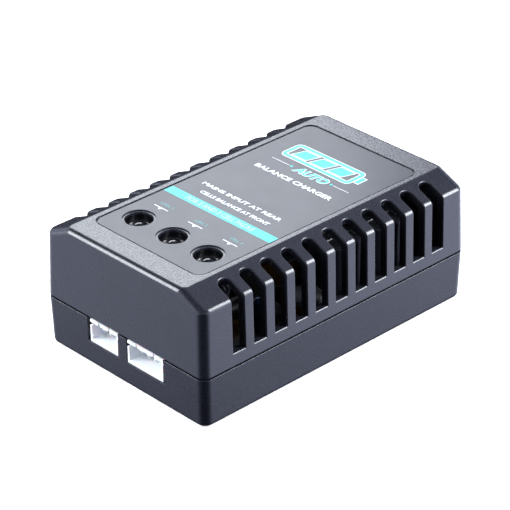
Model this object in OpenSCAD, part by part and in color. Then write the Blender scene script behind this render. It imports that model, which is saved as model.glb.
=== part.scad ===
// Compact balance battery charger: a two-part plastic casing with vent slots down both
// long sides, three cell lamps on the crown, two balance sockets at the front, a
// figure-eight mains inlet at the rear and the switch-mode supply on one board inside.
// Millimetres. The origin is the middle of the underside, +Z up, sockets facing -Y.

/* [Casing] */
// Width over the side walls at the joint line
body_w = 56; // [54:1:58]
// Length over the end walls at the joint line
body_l = 88; // [87:1:90]
// Height from the underside to the crown
body_h = 34; // [33.5:0.5:36]
// Width of the flat crown between the two sloping shoulders
crown_w = 40.6; // [40:0.2:42]
// Height at which the side walls turn into the shoulders
shoulder_z = 30.7; // [30:0.1:31]
// Height of the joint line between the two casing halves
split_z = 13.2; // [13:0.1:13.5]
// Wall thickness of both halves
wall = 2; // [1.8:0.1:2.2]
// Radius of the four vertical corners
corner_r = 2.5; // [1.6:0.1:2.6]

/* [Vent slots] */
// Slots in each long side
slot_count = 11; // [7:2:11]
// Distance from one slot to the next
slot_pitch = 6.65; // [6:0.05:6.8]
// Width of a slot
slot_w = 3.65; // [2.5:0.05:3.8]
// Height of the sill at the foot of the slots
slot_sill_z = 16.8; // [15.5:0.1:20]

/* [Label and lamps] */
// Width of the label
label_w = 36.9; // [36:0.1:37.4]
// Length of the label
label_l = 72.3; // [71:0.1:73]
// Thickness of the label
label_t = 0.3; // [0.2:0.05:0.4]
// Distance between neighbouring lamps
lamp_pitch = 12; // [12:0.1:12.2]
// Distance of the lamp row from the middle of the casing
lamp_row_y = -27.5; // [-27.7:0.1:-27.3]
// Diameter of a lamp
lamp_d = 5; // [4.6:0.1:5]

/* [Sockets and inlet] */
// Distance between neighbouring contacts of a balance socket
contact_pitch = 2.5; // [2.5]
// Height of a balance socket
socket_h = 6.1; // [5.8:0.1:6.1]
// Diameter of a mains inlet pin
inlet_pin_d = 2.4; // [2.3:0.1:2.4]
// Distance between the two mains inlet pins
inlet_pin_gap = 8.6; // [8.4:0.1:8.6]

/* [Hidden] */

$fn = 48;
cut = 1;                // how far a cutting shape runs past what it cuts
hull_fn = 32;

// casing
upper_draft = 0.5;      // how far the upper walls lean in at the crown
lower_draft = 0.3;      // how far the lower walls lean in at the underside
crown_edge_r = 1.5;
foot_edge_r = 1.2;
joint_gap = 0.45;       // open groove between the halves
lip_h = 1.1;            // the lower half's inner lip above the joint line
lip_t = 0.9;
lip_play = 0.15;
lip_in = wall - lip_t;  // how far the lip stands inside the outer faces
groove_in = lip_in - lip_play;
crown_t = 2.2;
half_w = body_w / 2;
half_l = body_l / 2;
upper_h = body_h - split_z;
function lean_in(z) = upper_draft * (z - split_z) / upper_h;
shoulder_x = half_w - lean_in(shoulder_z);
crown_x = crown_w / 2;
slope = atan((body_h - shoulder_z) / (shoulder_x - crown_x));
lower_top_z = split_z - joint_gap / 2;
upper_foot_z = split_z + joint_gap / 2;

// label recess
recess_play = 0.4;
recess_depth = 0.5;
recess_r = 2.8;
recess_floor_z = body_h - recess_depth;
label_hole_r = 4.05;

// lamps
lamp_r = lamp_d / 2;
lamp_bore_r = lamp_r + 0.15;
lamp_top_z = body_h - 1.6;
lamp_flange_z = lamp_top_z - 8.6;
lamp_flange_w = 0.4;
lamp_x = [-lamp_pitch, 0, lamp_pitch];
cup_r = 4.7;
cup_foot_z = 28.4;
mouth_r = 3.45;
mouth_bevel = 0.12;
mouth_z = recess_floor_z - mouth_bevel;
bowl_foot_z = 30.9;
bowl_steps = 10;

// vent slots
slot_row_y = 0.6;       // middle of the slot row
slot_top_x = 21.95;     // where the rounded slot end stops on the shoulder
slot_y = [for (i = [0:slot_count - 1]) slot_row_y + (i - (slot_count - 1) / 2) * slot_pitch];

// board
board_t = 1.6;
board_top_z = 6.6;
board_z = board_top_z - board_t;
board_w = 50.6;
board_l = 82.8;
lead_end_z = 3.8;       // leads are trimmed here under the board
stand_off = 0.3;        // parts on leads stand this far above the board
fine_fn = 24;

// screw posts
post_x = 22.5;
post_y = 38.6;
post_r = 3.7;
upper_post_r = 2.6;
post_meet_z = 9.5;
post_gap = 0.1;
post_root_h = 2;        // how far the upper posts run up past the joint line
head_seat_z = 5.6;
head_well_r = 2.75;
screw_r = 1.28;
pilot_r = 1.3;
pilot_top_z = 19;

// board pegs
peg_x = 21.5;
peg_y = 20;
peg_r = 1.2;
peg_foot_r = 1.7;

// balance sockets
socket_x = [-7, 7.65];
socket_ways = [3, 4];
socket_front_y = -43.85;
socket_back_y = -32.35;
socket_z = board_top_z + 0.15;
socket_side_t = 0.65;
socket_floor_t = 0.8;
socket_cavity = 7;
socket_play = 0.25;     // gap round a socket in the lower half's notch
notch_extra = 0.9;      // the three-way notch is this much wider on its outer side
key_w = 0.6;            // gaps in the socket's roof
key_l = 4.5;
key_inset = 3.2;        // from the side of the socket to the middle of a gap
slit_h = 0.75;          // slits under the roof at the mouth
slit_l = 2.4;
contact_play = 0.02;
pin_spacing = 1.27;     // between neighbouring legs of small parts
contact_w = 0.64;
contact_z = socket_z + 3.05;
contact_tip_y = socket_front_y + 2;
contact_tail_y = socket_back_y + 0.75;
function socket_w(ways) = (ways - 1) * contact_pitch + 4.9;

// mains inlet
inlet_w = 20;
inlet_h = 11.8;
inlet_mouth_y = 43.85;
inlet_back_y = 26.4;
inlet_floor_y = 30.9;
inlet_z = socket_z + inlet_h / 2;
inlet_lobe_r = 4.15;
inlet_lobe_x = 3.9;
inlet_waist_h = 6.4;
inlet_play = 0.2;
inlet_pin_l = 9.6;       // free length of a pin behind its tapered tip
inlet_root_r = 1.4;     // the thicker root moulded into the back of the inlet
inlet_root_play = 0.03;
inlet_root_l = 6;
inlet_tip_l = 0.6;
inlet_tip_r = 0.6;
inlet_tail_r = 0.6;
inlet_tail_y = 25.6;

// transformer
core_x = -1.5;
core_y = 9;
core_z = 17.6;
core_span = 25.4;
core_limb = 3.2;
core_t = 6.4;
coil_w = 17;
coil_h = 16;
flange_y = 8.1;         // inner face of the bobbin cheeks
rail_y = 12.9;
pin_row_y = 11;

// where the other parts stand
fuse_at = [-13.5, 34.2];
fuse_reach = 5.8;
thermistor_at = [14.5, 33.5];
rectifier_y = 22.5;
rectifier_x = [-14.6, -17.4, -20.2, -23];
rectifier_reach = 4.2;
bulk_at = [[18.2, 21.5], [18.2, 7.5]];
output_diode_x = [-14, -5, 4];
output_diode_y = -10.5;
output_diode_reach = 5.6;
output_capacitor_at = [[-19.2, -18.6], [-6, -20.9], [6, -20.9]];
transistor_at = [[-6, -28.2], [6, -28.2], [18.4, -29]];
resistor_x = [-23, -20.2, -17.4];
resistor_y = -27.7;
resistor_reach = 4.5;
choke_at = [20.2, -4];
choke_r = 4.2;
choke_post_r = 2;
choke_h = 10;
choke_flange_t = 1.5;
suppressor_at = [13.5, -12.5];
optocoupler_at = [11.4, -6.4];
optocoupler_leg_x = 3 * pin_spacing;
chip_at = [14.8, -20.3];
sink_x = -23.8;
sink_t = 1.5;
sink_y = 6;
sink_l = 22;
sink_top_z = 26;
power_y = 6;
power_leg_x = -21.7;
power_screw_z = 22.5;
tab_x = sink_x + sink_t + 0.05;
tab_t = 1.2;

// every hole that a lead passes through: [x, y, hole radius]
lead_holes = concat(
    [for (x = lamp_x, i = [-1:1]) [x + i * pin_spacing, lamp_row_y, 0.4]],
    [for (s = [0, 1], i = [0:socket_ways[s] - 1])
        [contact_x(s, i), contact_tail_y, 0.55]],
    [for (s = [-1, 1]) [s * inlet_pin_gap / 2, inlet_tail_y, 0.8]],
    [for (sx = [-1.5:1.5], sy = [-1, 1]) [core_x + sx * 5, core_y + sy * pin_row_y, 0.5]],
    [for (s = [-1, 1]) [fuse_at[0], fuse_at[1] + s * fuse_reach, 0.5]],
    [for (s = [-1, 1]) [thermistor_at[0] + s * 2.5, thermistor_at[1], 0.5]],
    [for (x = rectifier_x, s = [-1, 1]) [x, rectifier_y + s * rectifier_reach, 0.5]],
    [for (p = bulk_at, s = [-1, 1]) [p[0], p[1] + s * 2.5, 0.5]],
    [for (x = output_diode_x, s = [-1, 1])
        [x, output_diode_y + s * output_diode_reach, 0.7]],
    [for (p = output_capacitor_at, s = [-1, 1]) [p[0], p[1] + s * 1.75, 0.5]],
    [for (p = transistor_at, i = [-1:1]) [p[0] + i * pin_spacing, p[1], 0.4]],
    [for (x = resistor_x, s = [-1, 1]) [x, resistor_y + s * resistor_reach, 0.45]],
    [for (s = [-1, 1]) [choke_at[0], choke_at[1] + s * 2.5, 0.5]],
    [for (s = [-1, 1]) [suppressor_at[0] + s * 2.5, suppressor_at[1], 0.45]],
    [for (sx = [-1, 1], sy = [-1, 1])
        [optocoupler_at[0] + sx * optocoupler_leg_x, optocoupler_at[1] + sy * pin_spacing, 0.5]],
    [for (i = [-1:1]) [power_leg_x, power_y + i * 2 * pin_spacing, 0.65]]
);
function contact_x(s, i) = socket_x[s] + (i - (socket_ways[s] - 1) / 2) * contact_pitch;

// a disc whose rim is rounded by edge_r, used at the corners of the casing hulls
module rounded_disc(r, edge_r) {
    rotate_extrude($fn = hull_fn)
        intersection() {
            translate([r - edge_r, 0]) circle(edge_r, $fn = hull_fn);
            translate([0, -edge_r]) square([r + edge_r, 2 * edge_r]);
        }
}

module at_corners(x, y) {
    for (sx = [-1, 1], sy = [-1, 1])
        translate([sx * x, sy * y, 0])
            children();
}

// an upright block with rounded vertical edges, standing on z = 0
module soft_block(w, l, h, r) {
    translate([-w / 2 + r, -l / 2, 0]) cube([w - 2 * r, l, h]);
    translate([-w / 2, -l / 2 + r, 0]) cube([w, l - 2 * r, h]);
    at_corners(w / 2 - r, l / 2 - r) cylinder(r = r, h = h);
}

module middle_cube(w, l, h) {
    translate([-w / 2, -l / 2, 0]) cube([w, l, h]);
}

// a straight lead from z = low to z = high
module lead(x, y, low, high, r = 0.3) {
    translate([x, y, low]) cylinder(r = r, h = high - low, $fn = fine_fn);
}

// the outside of the upper half: drafted walls, sloping shoulders, rounded edges
module upper_outside() {
    e = crown_edge_r;
    tube = corner_r - e;
    end_y = half_l - lean_in(body_h) - corner_r;
    shoulder_c = [shoulder_x - e - tube,
                  shoulder_z - e * cos(slope) / (1 + sin(slope))];
    crown_c = [crown_x - e * sin(slope) / (1 + cos(slope)) - tube, body_h - e];
    hull() {
        translate([0, 0, upper_foot_z])
            at_corners(half_w - corner_r, half_l - corner_r)
                cylinder(r = corner_r, h = 0.2, $fn = hull_fn);
        translate([0, 0, shoulder_c[1]])
            at_corners(shoulder_c[0], half_l - lean_in(shoulder_z) - corner_r)
                rounded_disc(corner_r, e);
        translate([0, 0, crown_c[1]])
            at_corners(crown_c[0], end_y)
                rounded_disc(corner_r, e);
    }
}

// the room inside the upper half
module upper_room() {
    floor_x = half_w - wall;
    inner_shoulder_x = shoulder_x - wall;
    inner_shoulder_z = shoulder_z - wall * (1 - sin(slope)) / cos(slope);
    inner_crown_z = body_h - crown_t;
    inner_crown_x = inner_shoulder_x - (inner_crown_z - inner_shoulder_z) / tan(slope);
    room_l = body_l - 2 * wall - 2 * upper_draft;
    translate([0, room_l / 2, 0])
        rotate([90, 0, 0])
            linear_extrude(room_l)
                polygon([
                    [-floor_x, split_z - cut], [floor_x, split_z - cut],
                    [inner_shoulder_x, inner_shoulder_z], [inner_crown_x, inner_crown_z],
                    [-inner_crown_x, inner_crown_z], [-inner_shoulder_x, inner_shoulder_z],
                ]);
}

// one vent slot through the +X wall and up the shoulder, with a round upper end
module vent_slot() {
    reach = (shoulder_x - slot_top_x) / cos(slope) - slot_w / 2;
    inwards = wall + 0.6;
    deep = inwards + cut;
    translate([shoulder_x - inwards, -slot_w / 2, slot_sill_z])
        cube([deep + cut, slot_w, shoulder_z - slot_sill_z]);
    translate([shoulder_x, 0, shoulder_z])
        rotate([0, slope, 0]) {
            translate([-reach, -slot_w / 2, -inwards]) cube([reach + wall, slot_w, deep]);
            translate([-reach, 0, -inwards]) cylinder(r = slot_w / 2, h = deep);
        }
}

// the bowl that a lamp sits in: a broken edge, a round-bottomed wall and a bore
module lamp_bowl() {
    wall_arc = [for (i = [0:bowl_steps])
        let (turn = 90 * i / bowl_steps)
        [lamp_bore_r + (mouth_r - lamp_bore_r) * sin(turn),
         bowl_foot_z + (mouth_z - bowl_foot_z) * (1 - cos(turn))]];
    rotate_extrude()
        polygon(concat(
            [[0, cup_foot_z - cut], [lamp_bore_r, cup_foot_z - cut]],
            wall_arc,
            [[mouth_r + mouth_bevel, recess_floor_z], [mouth_r + mouth_bevel, body_h + cut],
             [0, body_h + cut]]
        ));
}

module recess_outline(play) {
    translate([0, 0, recess_floor_z])
        soft_block(label_w + 2 * play, label_l + 2 * play, recess_depth + cut,
                   recess_r - recess_play + play);
}

module upper_posts(high) {
    low = post_meet_z + post_gap;
    translate([0, 0, low])
        at_corners(post_x, post_y)
            cylinder(r = upper_post_r, h = high - low);
}

module lamp_cups() {
    for (x = lamp_x)
        translate([x, lamp_row_y, cup_foot_z]) cylinder(r = cup_r, h = body_h - cup_foot_z);
}

module upper_casing() {
    color([0.12, 0.12, 0.15])
    difference() {
        union() {
            difference() {
                upper_outside();
                difference() {
                    upper_room();
                    upper_posts(body_h);
                    lamp_cups();
                }
                translate([0, 0, split_z - cut])
                    soft_block(body_w - 2 * groove_in, body_l - 2 * groove_in,
                               cut + lip_h + lip_play, corner_r - groove_in);
            }
            upper_posts(split_z + lip_h + post_root_h);
        }
        for (side = [0, 1], y = slot_y)
            mirror([side, 0, 0]) translate([0, y, 0]) vent_slot();
        recess_outline(recess_play);
        for (x = lamp_x) translate([x, lamp_row_y, 0]) lamp_bowl();
        translate([0, 0, post_meet_z])
            at_corners(post_x, post_y)
                cylinder(r = pilot_r, h = pilot_top_z - post_meet_z, $fn = 24);
        translate([0, half_l, split_z - cut])
            middle_cube(inlet_w + 2 * inlet_play, 4 * wall,
                        inlet_z + inlet_h / 2 + inlet_play - split_z + cut);
    }
}

// the outside of the lower half: drafted walls and a rounded foot
module lower_outside() {
    hull() {
        translate([0, 0, lower_top_z - 0.2])
            at_corners(half_w - corner_r, half_l - corner_r)
                cylinder(r = corner_r, h = 0.2, $fn = hull_fn);
        translate([0, 0, foot_edge_r])
            at_corners(half_w - lower_draft - corner_r, half_l - lower_draft - corner_r)
                rounded_disc(corner_r, foot_edge_r);
    }
}

module lower_casing() {
    color([0.11, 0.11, 0.14])
    difference() {
        union() {
            difference() {
                union() {
                    lower_outside();
                    translate([0, 0, wall])
                        soft_block(body_w - 2 * lip_in, body_l - 2 * lip_in,
                                   split_z + lip_h - wall, corner_r - lip_in);
                }
                translate([0, 0, wall])
                    middle_cube(body_w - 2 * wall, body_l - 2 * wall, body_h);
            }
            translate([0, 0, wall / 2])
                at_corners(post_x, post_y)
                    cylinder(r = post_r, h = post_meet_z - wall / 2);
            at_corners(peg_x, peg_y) {
                translate([0, 0, wall / 2])
                    cylinder(r = peg_foot_r, h = board_z - wall / 2);
                translate([0, 0, board_z - cut])
                    cylinder(r = peg_r, h = board_t + cut + 0.2, $fn = 24);
            }
        }
        at_corners(post_x, post_y) {
            translate([0, 0, -cut]) cylinder(r = head_well_r, h = head_seat_z + cut);
            cylinder(r = pilot_r + 0.15, h = post_meet_z + cut, $fn = 24);
        }
        for (s = [0, 1])
            translate([socket_x[s], -half_l, socket_z - socket_play])
                middle_cube(socket_w(socket_ways[s]) + 2 * socket_play, 4 * wall, body_h);
        translate([socket_x[0] - socket_w(socket_ways[0]) / 2 - notch_extra,
                   -half_l - cut, socket_z - socket_play])
            cube([2 * notch_extra, 2 * wall, body_h]);
        translate([0, half_l, inlet_z - inlet_h / 2 - inlet_play])
            middle_cube(inlet_w + 2 * inlet_play, 4 * wall, body_h);
    }
}

module top_label() {
    color([0.34, 0.35, 0.4])
    difference() {
        translate([0, 0, recess_floor_z])
            soft_block(label_w, label_l, label_t, recess_r - recess_play);
        for (x = lamp_x)
            translate([x, lamp_row_y, recess_floor_z - cut])
                cylinder(r = label_hole_r, h = 3);
    }
}

module status_lamp(i) {
    flange_r = lamp_r + lamp_flange_w;
    color([0.06, 0.06, 0.07])
    translate([lamp_x[i], lamp_row_y, 0])
        rotate_extrude()
            intersection() {
                union() {
                    translate([0, lamp_flange_z]) square([flange_r, 1]);
                    translate([0, lamp_flange_z])
                        square([lamp_r, lamp_top_z - lamp_r - lamp_flange_z]);
                    translate([0, lamp_top_z - lamp_r]) circle(lamp_r);
                }
                translate([0, lamp_flange_z]) square([flange_r, lamp_top_z]);
            }
}

// a tube under the lamp, with one slot across for its leads
module lamp_spacer(i) {
    slot = [3.6, 0.8];
    color([0.08, 0.08, 0.08])
    translate([lamp_x[i], lamp_row_y, board_top_z])
        difference() {
            cylinder(r = lamp_r + lamp_flange_w, h = lamp_flange_z - board_top_z);
            translate([0, 0, -cut]) middle_cube(slot[0], slot[1], lamp_flange_z);
        }
}

module lamp_leads(i) {
    color([0.75, 0.75, 0.76])
    for (k = [-1:1])
        lead(lamp_x[i] + k * pin_spacing, lamp_row_y, lead_end_z, lamp_flange_z, 0.25);
}

// side-entry header: a shroud keyed by two gaps in its upper wall and a slit in each side
module balance_socket(s) {
    ways = socket_ways[s];
    w = socket_w(ways);
    l = socket_back_y - socket_front_y;
    roof_z = socket_h - socket_floor_t;
    hole = contact_w + 2 * contact_play;
    color([0.9, 0.91, 0.93])
    translate([socket_x[s], socket_front_y, socket_z])
        difference() {
            translate([-w / 2, 0, 0]) cube([w, l, socket_h]);
            translate([-w / 2 + socket_side_t, -cut, socket_floor_t])
                cube([w - 2 * socket_side_t, socket_cavity + cut, roof_z - socket_floor_t]);
            for (side = [-1, 1])
                translate([side * (w / 2 - key_inset) - key_w / 2, -cut, roof_z - cut])
                    cube([key_w, key_l + cut, socket_h]);
            translate([-w / 2 - cut, -cut, roof_z - slit_h])
                cube([w + 2 * cut, slit_l + cut, slit_h]);
            for (i = [0:ways - 1])
                translate([(i - (ways - 1) / 2) * contact_pitch - hole / 2,
                           socket_cavity - cut, contact_z - socket_z - hole / 2])
                    cube([hole, l, hole]);
        }
}

// square contacts that run back through the header and turn down into the board
module socket_contacts(s) {
    h = contact_w / 2;
    color([0.78, 0.76, 0.68])
    for (i = [0:socket_ways[s] - 1])
        translate([contact_x(s, i), 0, 0]) {
            translate([-h, contact_tip_y, contact_z - h])
                cube([contact_w, contact_tail_y - contact_tip_y + h, contact_w]);
            translate([-h, contact_tail_y - h, lead_end_z])
                cube([contact_w, contact_w, contact_z - lead_end_z]);
        }
}

// the figure-eight mouth of the mains inlet
module inlet_mouth() {
    rotate([-90, 0, 0])
        for (s = [-1, 1])
            translate([s * inlet_lobe_x, 0, 0])
                cylinder(r = inlet_lobe_r, h = inlet_mouth_y - inlet_floor_y + cut);
    translate([-inlet_lobe_x, 0, -inlet_waist_h / 2])
        cube([2 * inlet_lobe_x, inlet_mouth_y - inlet_floor_y + cut, inlet_waist_h]);
}

module mains_inlet() {
    color([0.05, 0.05, 0.06])
    difference() {
        translate([-inlet_w / 2, inlet_back_y, inlet_z - inlet_h / 2])
            cube([inlet_w, inlet_mouth_y - inlet_back_y, inlet_h]);
        translate([0, inlet_floor_y, inlet_z]) inlet_mouth();
        for (s = [-1, 1])
            translate([s * inlet_pin_gap / 2, inlet_back_y - cut, inlet_z])
                rotate([-90, 0, 0])
                    cylinder(r = inlet_root_r + inlet_root_play, h = inlet_root_l);
    }
}

module inlet_pins() {
    r = inlet_pin_d / 2;
    color([0.8, 0.8, 0.8])
    for (s = [-1, 1])
        translate([s * inlet_pin_gap / 2, 0, 0]) {
            translate([0, inlet_tail_y - inlet_tail_r, inlet_z])
                rotate([-90, 0, 0])
                    cylinder(r = inlet_root_r, h = inlet_floor_y - inlet_tail_y + inlet_tail_r);
            translate([0, inlet_floor_y, inlet_z])
                rotate([-90, 0, 0])
                    cylinder(r = r, h = inlet_pin_l);
            translate([0, inlet_floor_y + inlet_pin_l, inlet_z])
                rotate([-90, 0, 0])
                    cylinder(r1 = r, r2 = inlet_tip_r, h = inlet_tip_l);
            translate([0, inlet_tail_y, lead_end_z])
                cylinder(r = inlet_tail_r, h = inlet_z - lead_end_z);
        }
}

module main_board() {
    color([0.55, 0.4, 0.2])
    translate([0, 0, board_z])
        difference() {
            middle_cube(board_w, board_l, board_t);
            for (sx = [-1, 1], sy = [-1, 1])
                translate([sx * (post_x + 1), sy * (post_y + 1), -cut])
                    middle_cube(2 * post_r + 2.6, 2 * post_r + 2.6, 4);
            at_corners(peg_x, peg_y)
                translate([0, 0, -cut]) cylinder(r = peg_r + 0.1, h = 4, $fn = 24);
            for (p = lead_holes)
                translate([p[0], p[1], -cut]) cylinder(r = p[2], h = 4, $fn = 16);
        }
}

// one E-shaped ferrite half, opening towards +Y
module core_half() {
    half_leg = core_t / 2;
    translate([0, 0, -core_t / 2]) {
        translate([-core_span / 2, -core_span / 2, 0])
            cube([core_span, core_limb, core_t]);
        for (s = [-1, 1])
            translate([s * (core_span - core_limb) / 2 - core_limb / 2, -core_span / 2, 0])
                cube([core_limb, core_span / 2 - 0.05, core_t]);
        translate([-half_leg, -core_span / 2, 0])
            cube([core_t, core_span / 2 - 0.15, core_t]);
    }
}

module transformer_core() {
    color([0.2, 0.2, 0.21])
    translate([core_x, core_y, core_z])
        for (side = [0, 1]) mirror([0, side, 0]) core_half();
}

module transformer_bobbin() {
    color([0.1, 0.1, 0.1])
    translate([core_x, core_y, 0])
        difference() {
            union() {
                translate([-4, -flange_y, core_z - 4]) cube([8, 2 * flange_y, 8]);
                for (s = [-1, 1]) {
                    translate([0, s * (flange_y + 0.5), 9.2]) middle_cube(18, 1, 17);
                    translate([0, s * (flange_y + rail_y) / 2, board_top_z + 0.5])
                        middle_cube(23, rail_y - flange_y, 14.2 - board_top_z - 0.5);
                }
            }
            translate([-3.3, -2 * flange_y, core_z - 3.3]) cube([6.6, 4 * flange_y, 6.6]);
        }
}

module transformer_winding() {
    color([0.85, 0.68, 0.15])
    translate([core_x, core_y + flange_y - 0.1, core_z - coil_h / 2])
        rotate([90, 0, 0])
            translate([0, coil_h / 2, 0])
                difference() {
                    soft_block(coil_w, coil_h, 2 * flange_y - 0.2, 2.5);
                    translate([0, 0, -cut]) middle_cube(8.1, 8.1, 4 * flange_y);
                }
}

module transformer_tape() {
    color([0.9, 0.75, 0.2])
    translate([core_x, core_y, core_z - 2.5])
        difference() {
            middle_cube(core_span + 0.5, core_span + 0.5, 5);
            translate([0, 0, -cut]) middle_cube(core_span + 0.06, core_span + 0.06, 8);
        }
}

module transformer_pins() {
    color([0.75, 0.75, 0.76])
    for (sx = [-1.5:1.5], sy = [-1, 1])
        lead(core_x + sx * 5, core_y + sy * pin_row_y, lead_end_z, board_top_z + 0.5, 0.4);
}

// an upright electrolytic capacitor with a crimp groove, vent end up
module can_capacitor(at, r, h, lead_gap) {
    crimp_z = 1.6;
    crimp_r = 0.55;
    crimp_depth = 0.4;
    translate([at[0], at[1], 0]) {
        translate([0, 0, board_top_z + stand_off])
            difference() {
                cylinder(r = r, h = h);
                translate([0, 0, crimp_z])
                    rotate_extrude()
                        translate([r + crimp_r - crimp_depth, 0]) circle(crimp_r, $fn = fine_fn);
            }
        for (s = [-1, 1])
            lead(0, s * lead_gap / 2, lead_end_z, board_top_z + stand_off, 0.35);
    }
}

module bulk_capacitor(i) {
    color([0.12, 0.14, 0.22])
        can_capacitor(bulk_at[i], 6.4, 20, 5);
}

module output_capacitor(i) {
    color([0.1, 0.25, 0.3])
        can_capacitor(output_capacitor_at[i], 4, 12, 3.5);
}

// a round body lying along Y on two leads that turn down into the board
module axial_part(x, y, body_r, body_l, reach, lead_r) {
    axis_z = board_top_z + body_r + stand_off;
    translate([x, y, 0]) {
        translate([0, -body_l / 2, axis_z])
            rotate([-90, 0, 0]) cylinder(r = body_r, h = body_l);
        translate([0, -reach, axis_z])
            rotate([-90, 0, 0]) cylinder(r = lead_r, h = 2 * reach, $fn = fine_fn);
        for (s = [-1, 1]) {
            lead(0, s * reach, lead_end_z, axis_z, lead_r);
            translate([0, s * reach, axis_z]) sphere(lead_r, $fn = fine_fn);
        }
    }
}

module mains_fuse() {
    color([0.85, 0.8, 0.7])
        axial_part(fuse_at[0], fuse_at[1], 1.9, 10, fuse_reach, 0.35);
}

module rectifier_diode(i) {
    color([0.08, 0.08, 0.08])
        axial_part(rectifier_x[i], rectifier_y, 1.35, 5.2, rectifier_reach, 0.38);
}

module output_diode(i) {
    color([0.08, 0.08, 0.08])
        axial_part(output_diode_x[i], output_diode_y, 2.4, 8.6, output_diode_reach, 0.55);
}

module sense_resistor(i) {
    color([0.35, 0.5, 0.62])
        axial_part(resistor_x[i], resistor_y, 1.2, 6.3, resistor_reach, 0.3);
}

// a dipped disc standing on edge on two leads
module disc_part(at, r, t) {
    lead_x = 2.5;
    translate([at[0], at[1], 0]) {
        translate([0, t / 2, board_top_z + r + 1])
            rotate([90, 0, 0]) cylinder(r = r, h = t);
        for (s = [-1, 1]) lead(s * lead_x, 0, lead_end_z, board_top_z + 3);
    }
}

module inrush_thermistor() {
    color([0.1, 0.16, 0.12])
        disc_part(thermistor_at, 4, 3.4);
}

module suppression_capacitor() {
    color([0.1, 0.35, 0.7])
        disc_part(suppressor_at, 4.2, 3);
}

// the drum of a choke: two flanges on a post, standing on two leads
module filter_choke_core() {
    color([0.22, 0.22, 0.23])
    translate([choke_at[0], choke_at[1], 0]) {
        translate([0, 0, board_top_z + stand_off]) {
            cylinder(r = choke_post_r, h = choke_h);
            for (z = [0, choke_h - choke_flange_t])
                translate([0, 0, z]) cylinder(r = choke_r, h = choke_flange_t);
        }
        for (s = [-1, 1]) lead(0, s * 2.5, lead_end_z, board_top_z + stand_off, 0.35);
    }
}

// its winding, as one tube between the flanges
module filter_choke_coil() {
    play = 0.05;
    low = board_top_z + stand_off + choke_flange_t + play;
    h = choke_h - 2 * (choke_flange_t + play);
    color([0.72, 0.42, 0.2])
    translate([choke_at[0], choke_at[1], low])
        difference() {
            cylinder(r = choke_r - 0.5, h = h);
            translate([0, 0, -cut]) cylinder(r = choke_post_r + play, h = h + 2 * cut);
        }
}

// a small transistor: a round-backed body with one flat side, on three legs
module charge_transistor(i) {
    at = transistor_at[i];
    body_r = 2.3;
    body_h = 4.6;
    flat_y = -1.3;
    color([0.08, 0.08, 0.08])
    translate([at[0], at[1], 0]) {
        translate([0, 0, board_top_z + 2])
            intersection() {
                cylinder(r = body_r, h = body_h);
                translate([-body_r - cut, flat_y, 0])
                    cube([2 * (body_r + cut), 2 * body_r, body_h]);
            }
        for (k = [-1:1]) lead(k * pin_spacing, 0, lead_end_z, board_top_z + 3, 0.25);
    }
}

// a four-legged package whose legs come out of its sides and turn down
module optocoupler() {
    body = [6.4, 4.6, 3.4];
    leg_t = 0.3;
    leg_w = 0.5;
    leg_top_z = board_top_z + 2.2;
    color([0.85, 0.85, 0.83])
    translate([optocoupler_at[0], optocoupler_at[1], 0]) {
        translate([0, 0, board_top_z + 0.5]) middle_cube(body[0], body[1], body[2]);
        for (sx = [-1, 1], sy = [-1, 1])
            translate([sx * optocoupler_leg_x, sy * pin_spacing, lead_end_z])
                middle_cube(leg_t, leg_w, leg_top_z - lead_end_z);
        for (sy = [-1, 1])
            translate([0, sy * pin_spacing, leg_top_z - leg_t])
                middle_cube(2 * optocoupler_leg_x + leg_t, leg_w, leg_t);
    }
}

// a surface-mounted chip: body and bent feet, seven a side
module control_chip() {
    body = [3.9, 8.7, 1.4];
    foot_w = 0.4;
    foot_t = 0.2;
    shoulder_top = 0.9;
    color([0.07, 0.07, 0.07])
    translate([chip_at[0], chip_at[1], board_top_z]) {
        translate([0, 0, 0.1]) middle_cube(body[0], body[1], body[2]);
        for (side = [-1, 1], i = [-3:3])
            translate([side * 2.4, i * pin_spacing, 0]) {
                middle_cube(1.2, foot_w, foot_t);
                translate([-side * 0.3, 0, 0]) middle_cube(0.25, foot_w, shoulder_top);
                translate([-side * 0.35, 0, shoulder_top - 0.25])
                    middle_cube(0.5, foot_w, 0.25);
            }
    }
}

// a hole along X for the transistor's screw
module power_screw_hole(x, r) {
    translate([x - cut, power_y, power_screw_z])
        rotate([0, 90, 0]) cylinder(r = r, h = 4);
}

module heat_sink() {
    color([0.72, 0.73, 0.75])
    difference() {
        translate([sink_x, sink_y - sink_l / 2, board_top_z + 0.1])
            cube([sink_t, sink_l, sink_top_z - board_top_z]);
        power_screw_hole(sink_x, 1.6);
    }
}

// a moulded body on a metal tab, with three legs
module power_transistor() {
    w = 10;
    foot_z = 10.6;
    tab_h = 15.2;
    body_h = 9;
    body_t = 4.4;
    leg = [0.5, 0.8, 8];
    color([0.1, 0.1, 0.1])
    difference() {
        union() {
            translate([tab_x, power_y - w / 2, foot_z]) cube([tab_t, w, tab_h]);
            translate([tab_x, power_y - w / 2, foot_z]) cube([body_t, w, body_h]);
            for (i = [-1:1])
                translate([power_leg_x, power_y + i * 2 * pin_spacing, lead_end_z])
                    middle_cube(leg[0], leg[1], leg[2]);
        }
        power_screw_hole(tab_x, 1.8);
    }
}

// a cross recess from z = 0 up, cut into screw heads
module cross_recess(l, h) {
    slot_t = 0.7;
    for (turn = [0, 90])
        rotate([0, 0, turn]) middle_cube(l, slot_t, h);
}

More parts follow.
